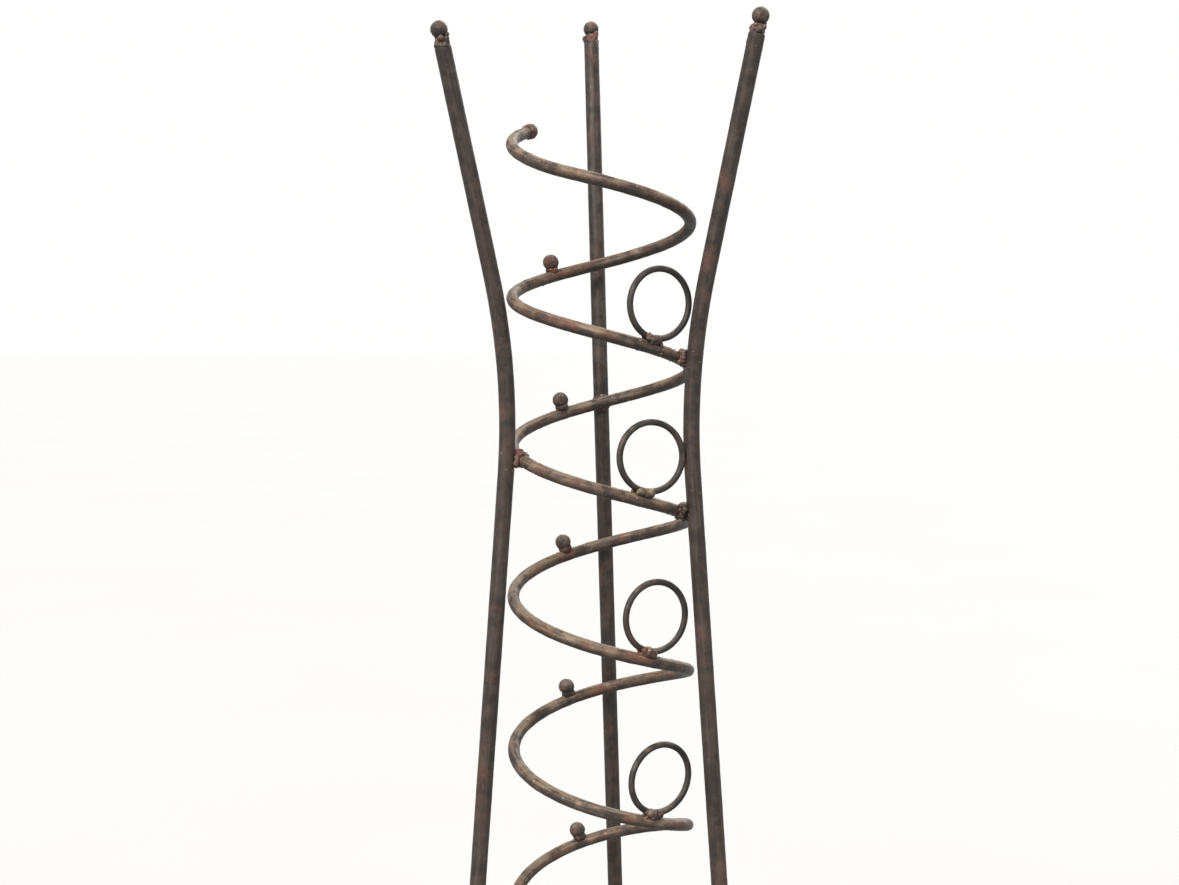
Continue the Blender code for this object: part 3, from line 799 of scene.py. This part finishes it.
def ringWeldDrops(chance):
    sizes = welds["ring"]
    ringCurve = (rings["bore"] + rings["bar"]) / 2
    drops = []
    for side in (-1, 1):
        for step in range(sizes["rows"]):
            x = ((step + 0.5) / sizes["rows"] - 0.5) * sizes["length"]
            x += chance.uniform(-sizes["alongJitter"], sizes["alongJitter"])
            z = coil["bar"] / 2 + sizes["above"] + x * x / (2 * ringCurve)
            size = sizes["drop"] * (sizes["middleSwell"] - abs(x) * sizes["taper"])
            drops.append(dropOf(chance, (x, side * sizes["aside"], z), size, sizes["squash"]))
    middle = (0.0, 0.0, coil["bar"] / 2 + sizes["crustAbove"])
    return drops + crust(chance, sizes["crust"], middle, sizes["crustSpread"], sizes["crustDrop"])


def jointWeldDrops(chance, heavy):
    sizes = welds["joint"]
    drops = []
    coilMiddle = -(coil["bar"] / 2 + legs["bar"] / 2 + gap) / 2
    for step in range(heavy):  # a heavy weld that ran right round the coil
        angle = math.tau * (step + chance.uniform(-0.3, 0.3)) / heavy
        x = chance.uniform(-1, 1) * sizes["heavyReach"]
        y = math.sin(angle) * coil["bar"] / 2
        z = coilMiddle + math.cos(angle) * coil["bar"] / 2
        drops.append(dropOf(chance, (x, y, z), sizes["heavyDrop"]))
    for step in range(sizes["drops"]):
        angle = math.tau * step / sizes["drops"] + chance.uniform(-0.15, 0.15)
        x = math.cos(angle) * sizes["alongCoil"]
        y = math.sin(angle) * sizes["alongLeg"]
        z = sizes["wave"] * math.cos(2 * angle) - sizes["inward"]
        drops.append(dropOf(chance, (x, y, z), sizes["drop"]))
    drops.append(dropOf(chance, (0.0, 0.0, -sizes["inward"]), sizes["heart"]))
    for x in sizes["overAlong"]:  # above and below the coil, where the weld ran over it
        for side in (-1, 1):
            place = (x, side * sizes["over"], -sizes["overInward"])
            drops.append(dropOf(chance, place, sizes["overDrop"]))
    middle = (0.0, 0.0, -sizes["crustInward"])
    return drops + crust(chance, sizes["crust"], middle, sizes["crustSpread"], sizes["crustDrop"])


def finialWeldDrops(chance):
    sizes = welds["finial"]
    height = balls["finialStand"] - balls["finial"] / 2
    neck = [sizes["neck"], sizes["neck"], height * sizes["neckShare"]]
    drops = [(Vector((0.0, 0.0, height / 2)), neck, [0.0, 0.0, 0.0])]
    for step in range(sizes["collar"]):
        angle = math.tau * step / sizes["collar"]
        out = sizes["collarOut"]
        place = (math.cos(angle) * out, math.sin(angle) * out, chance.uniform(*sizes["collarHeights"]))
        drops.append(dropOf(chance, place, sizes["collarDrop"]))
    for _ in range(sizes["lumps"]):
        angle = chance.uniform(0, math.tau)
        out = sizes["lumpsOut"]
        rise = chance.uniform(*sizes["lumpHeights"]) * height
        place = (math.cos(angle) * out, math.sin(angle) * out, rise)
        drops.append(dropOf(chance, place, chance.uniform(*sizes["lumpDrops"])))
    return drops


def collarDrops(chance, sizes, height):
    # a ring of drops round a ball's foot
    drops = []
    for step in range(sizes["drops"]):
        angle = math.tau * step / sizes["drops"] + chance.uniform(-0.2, 0.2)
        place = (math.cos(angle) * sizes["out"], math.sin(angle) * sizes["out"], height)
        drops.append(dropOf(chance, place, sizes["drop"], sizes["squash"]))
    return drops


def legTurn(side, whole):
    turn = whole + legs["sidesOfRack"][side][0] / 360.0
    for _ in range(rings["settlingSteps"]):
        beside = legPoint(side, coilHeight(turn)) - axis
        turn = whole + (math.atan2(beside.y, beside.x) / math.tau) % 1.0
    return turn


def makeWelds():
    for side in legs["sidesOfRack"]:
        drops = finialWeldDrops(random.Random("finial " + side))
        weldPiece("weld_finial_" + side, finialFrame(side), drops, "jointIron", "finial_weld_" + side)
    for side, (_, _, _, joints) in legs["sidesOfRack"].items():
        for place, whole in joints.items():
            turn = legTurn(side, whole)
            bar = coilPoint(turn)
            leg = legPoint(side, bar.z)
            middle = frameAt((leg + bar) / 2, coilDirection(turn), leg - bar)
            name = side + "_" + place
            drops = jointWeldDrops(random.Random(name), welds["joint"]["heavy"].get(name, 0))
            weldPiece("weld_" + name, middle, drops, "jointIron", "joint_weld_" + name)
    for bottle in range(len(rings["shifts"])):
        number = str(bottle + 1)
        drops = ringWeldDrops(random.Random("ring " + number))
        finish = "jointIron" if number in welds["ring"]["rusty"] else "weldIron"
        place = coilFrame(ringTurn(bottle))
        weldPiece("weld_ring_" + number, place, drops, finish, "neck_ring_weld_" + number)
        height = coil["bar"] / 2 + welds["stop"]["above"]
        drops = collarDrops(random.Random("stop " + number), welds["stop"], height)
        place = coilFrame(stopTurn(bottle))
        weldPiece("weld_stop_" + number, place, drops, "jointIron", "stop_ball_weld_" + number)
    backwards = endBallFrame() @ Matrix.Rotation(math.pi / 2, 4, "Y")
    drops = collarDrops(random.Random("coil end"), welds["end"], welds["end"]["back"])
    weldPiece("weld_coil_end", backwards, drops, "jointIron")
    print("welds laid:", len(weldCentres))


spatter = {"Reach": 0.040, "Density": 34000.0, "Drop": 0.00095, "Seed": 7}


def makeSpatter(bars):
    centres = bpy.data.meshes.new("weldCentres")
    centres.from_pydata(weldCentres, [], [])
    guide = addObject("weldCentresGuide", centres)
    for bar in bars:
        values = {**spatter, "Welds": guide, "Material": finishes["weldIron"]}
        piece = grow("spatter_on_" + bar.name, bar.data.copy(), trees["spatter"], values)
        dropAttributes(piece, "barSpace")
        settle(piece, "weld_bead")
        print("spatter on", bar.name, len(piece.data.polygons), "faces")
    bpy.data.objects.remove(guide, do_unlink=True)


studio = {
    "floorSize": 120.0, "floor": (0.425, 0.424, 0.420, 1.0), "floorRoughness": 0.9, "floorSpecular": 0.1,
    "clouds": 0.8, "cloudShade": 0.985, "air": (1.0, 1.0, 0.996, 1.0), "airStrength": 1.0,
    "lens": 49.54, "sensor": 36.0, "cameraPlace": (-0.0092, -1.2849, 1.2299), "cameraPitch": 85.834,
}
# each lamp is a broad soft one, far off in the direction of its place
lamps = {
    "key": {"place": (-1.0, -2.0, 1.5), "strength": 5.0, "spread": 26.0, "colour": (1.0, 0.975, 0.945)},
    "fill": {"place": (1.8, -1.2, 0.6), "strength": 0.4, "spread": 40.0, "colour": (0.96, 0.98, 1.0)},
    "back": {"place": (1.2, 2.2, 1.3), "strength": 1.2, "spread": 40.0, "colour": (1.0, 0.99, 0.97)},
    "above": {"place": (-0.6, -0.5, 3.0), "strength": 0.75, "spread": 75.0, "colour": (1.0, 0.985, 0.955)},
}


def floorFinish():
    material, board = startMaterial("paleFloor")
    place = board.add("ShaderNodeTexCoord").out("Object")
    cloud = board.edge(board.grain(place, studio["clouds"], 2.0), 0.3, 0.7)
    shade = tuple(channel * studio["cloudShade"] for channel in studio["floor"][:3]) + (1.0,)
    surface = {
        "Base Color": board.blend(cloud, shade, studio["floor"]),
        "Roughness": studio["floorRoughness"],
        "Specular IOR Level": studio["floorSpecular"],
    }
    shader = board.add("ShaderNodeBsdfPrincipled", None, surface)
    board.add("ShaderNodeOutputMaterial", None, {"Surface": shader})
    return material


def makeStudio():
    half = studio["floorSize"] / 2
    mesh = bpy.data.meshes.new("floor")
    corners = [(-half, -half, 0), (half, -half, 0), (half, half, 0), (-half, half, 0)]
    mesh.from_pydata(corners, [], [(0, 1, 2, 3)])
    mesh.materials.append(floorFinish())
    addObject("floor", mesh)

    air = bpy.data.worlds.new("air")
    air.use_nodes = True
    air.node_tree.nodes.clear()
    board = Board(air.node_tree)
    glow = {"Color": studio["air"], "Strength": studio["airStrength"]}
    board.add("ShaderNodeOutputWorld", None, {"Surface": board.add("ShaderNodeBackground", None, glow)})
    bpy.context.scene.world = air

    for name, lamp in lamps.items():
        light = bpy.data.lights.new(name, "SUN")
        light.energy = lamp["strength"]
        light.angle = math.radians(lamp["spread"])
        light.color = lamp["colour"]
        holder = bpy.data.objects.new(name, light)
        holder.rotation_euler = (-Vector(lamp["place"])).to_track_quat("-Z", "Y").to_euler()
        bpy.context.scene.collection.objects.link(holder)

    lens = bpy.data.cameras.new("camera")
    lens.lens = studio["lens"]
    lens.sensor_width = studio["sensor"]
    lens.dof.use_dof = False
    camera = bpy.data.objects.new("camera", lens)
    camera.location = axis + Vector(studio["cameraPlace"])
    camera.rotation_euler = (math.radians(studio["cameraPitch"]), 0.0, 0.0)
    bpy.context.scene.collection.objects.link(camera)
    bpy.context.scene.camera = camera
    bpy.context.scene.view_settings.view_transform = "Standard"
    print("studio lit")


makeLegs()
coilBar = makeCoil()
makeRings()
makeBalls()
makeWelds()
legBars = [bpy.data.objects["iron_leg_" + side] for side in legs["sidesOfRack"]]
makeSpatter([coilBar, *legBars])
makeStudio()
